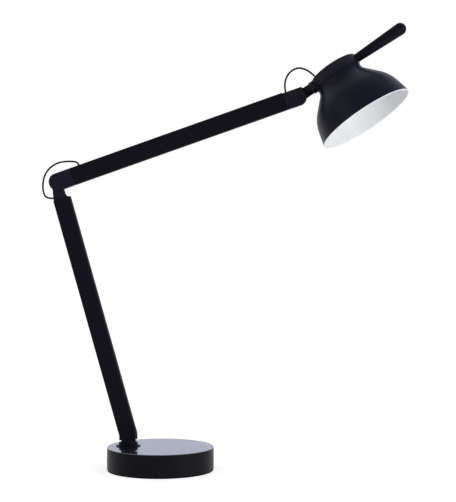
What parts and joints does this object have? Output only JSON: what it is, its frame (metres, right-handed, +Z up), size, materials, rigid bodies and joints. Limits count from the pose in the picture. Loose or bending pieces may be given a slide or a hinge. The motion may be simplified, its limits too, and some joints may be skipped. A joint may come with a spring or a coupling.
{
  "type": "desk lamp",
  "caption": "Desk lamp with two spring balanced arms on a heavy round base, and a bell shade with a stick handle that tilts, rolls and swings.",
  "frame": {"origin": "centre of the underside of the round base, on the surface it stands on", "axes": "+Z up; +X the way the head reaches out over the base's front; +Y across the arms, away from the side that the picture shows"},
  "size_m": [0.6178, 0.1863, 0.7466],
  "materials": {
    "base_black": "satin powder coat, near black",
    "ballast_iron": "rough cast, hidden in the base",
    "zinc_steel": "zinc plated steel",
    "rubber_black": "matt moulded rubber",
    "bush_plastic": "plain acetal",
    "arm_black": "satin black powder coat",
    "pin_black": "blackened steel",
    "cable_black": "smooth black jacket",
    "shade_black": "satin black powder coat",
    "liner_white": "satin white paint",
    "sink_aluminium": "machined",
    "board_white": "white solder mask",
    "opal_plastic": "opal",
    "switch_plastic": "fine moulded grain"
  },
  "bodies": {
    "base": {"base_cover": "base_black", "base_ballast": "ballast_iron", "base_plate": "zinc_steel", "base_screws": "zinc_steel", "foot_pad": "rubber_black", "inlet_grommet": "rubber_black", "swivel_rosette": "base_black", "swivel_bush": "bush_plastic"},
    "swivel": {"swivel_knuckle": "arm_black", "swivel_shaft": "zinc_steel", "swivel_washer": "zinc_steel", "swivel_nut": "zinc_steel", "lower_axle": "pin_black", "lower_axle_nut": "pin_black", "lower_washers": "bush_plastic", "lower_drum": "zinc_steel"},
    "lower_arm": {"lower_foot": "arm_black", "lower_arm_tube": "arm_black", "lower_pull_wire": "zinc_steel", "lower_spring": "zinc_steel", "lower_spring_block": "arm_black", "lower_tension_nut": "zinc_steel", "lower_lead": "cable_black", "elbow_tongue": "arm_black", "elbow_loop": "cable_black"},
    "upper_arm": {"elbow_fork": "arm_black", "arm_axles": "pin_black", "arm_axle_nuts": "pin_black", "elbow_washers": "bush_plastic", "upper_arm_tube": "arm_black", "upper_pull_wire": "zinc_steel", "upper_spring": "zinc_steel", "upper_spring_block": "arm_black", "upper_tension_nut": "zinc_steel", "upper_lead": "cable_black", "entry_grommet": "rubber_black", "head_fork": "arm_black", "tilt_washers": "bush_plastic", "head_loop_arm_side": "cable_black"},
    "head_yoke": {"neck": "arm_black", "roll_spindle": "zinc_steel", "roll_washer": "bush_plastic", "roll_nut": "zinc_steel", "head_loop_hub_side": "cable_black"},
    "head": {"hub_ring": "shade_black", "hub_cap": "shade_black", "cap_screws": "pin_black", "cap_grommet": "rubber_black", "shade": "shade_black", "shade_screws": "zinc_steel", "reflector": "liner_white", "heat_sink": "sink_aluminium", "led_board": "board_white", "diffuser": "opal_plastic", "switch_body": "switch_plastic", "button_spring": "zinc_steel", "handle": "shade_black", "handle_screw": "zinc_steel"},
    "button": {"switch_button": "switch_plastic"}
  },
  "joints": [
    {"name": "swivel", "type": "hinge", "parent": "base", "child": "swivel", "pos_m": [-0.0548, 0, 0.0393], "axis": [0, 0, 1], "range_deg": [-170, 170]},
    {"name": "lower_lean", "type": "hinge", "parent": "swivel", "child": "lower_arm", "pos_m": [-0.0548, 0, 0.0589], "axis": [0, 1, 0], "range_deg": [-20, 45]},
    {"name": "elbow", "type": "hinge", "parent": "lower_arm", "child": "upper_arm", "pos_m": [-0.17388, 0, 0.4858], "axis": [0, 1, 0], "range_deg": [-75, 38], "deforming": ["elbow_loop"]},
    {"name": "head_tilt", "type": "hinge", "parent": "upper_arm", "child": "head_yoke", "pos_m": [0.23193, 0, 0.62493], "axis": [0, 1, 0], "range_deg": [-10, 75], "deforming": ["head_loop_arm_side"]},
    {"name": "head_roll", "type": "hinge", "parent": "head_yoke", "child": "head", "pos_m": [0.29347, 0, 0.66585], "axis": [0.8327, 0, 0.5537], "range_deg": [-80, 80], "deforming": ["head_loop_hub_side"]},
    {"name": "button_press", "type": "slide", "parent": "head", "child": "button", "axis": [0.5473, -0.152, -0.8231], "range_m": [0, 0.0015], "stiffness_N_per_m": 300, "springref_m": -0.0008, "deforming": ["button_spring"]}
  ]
}
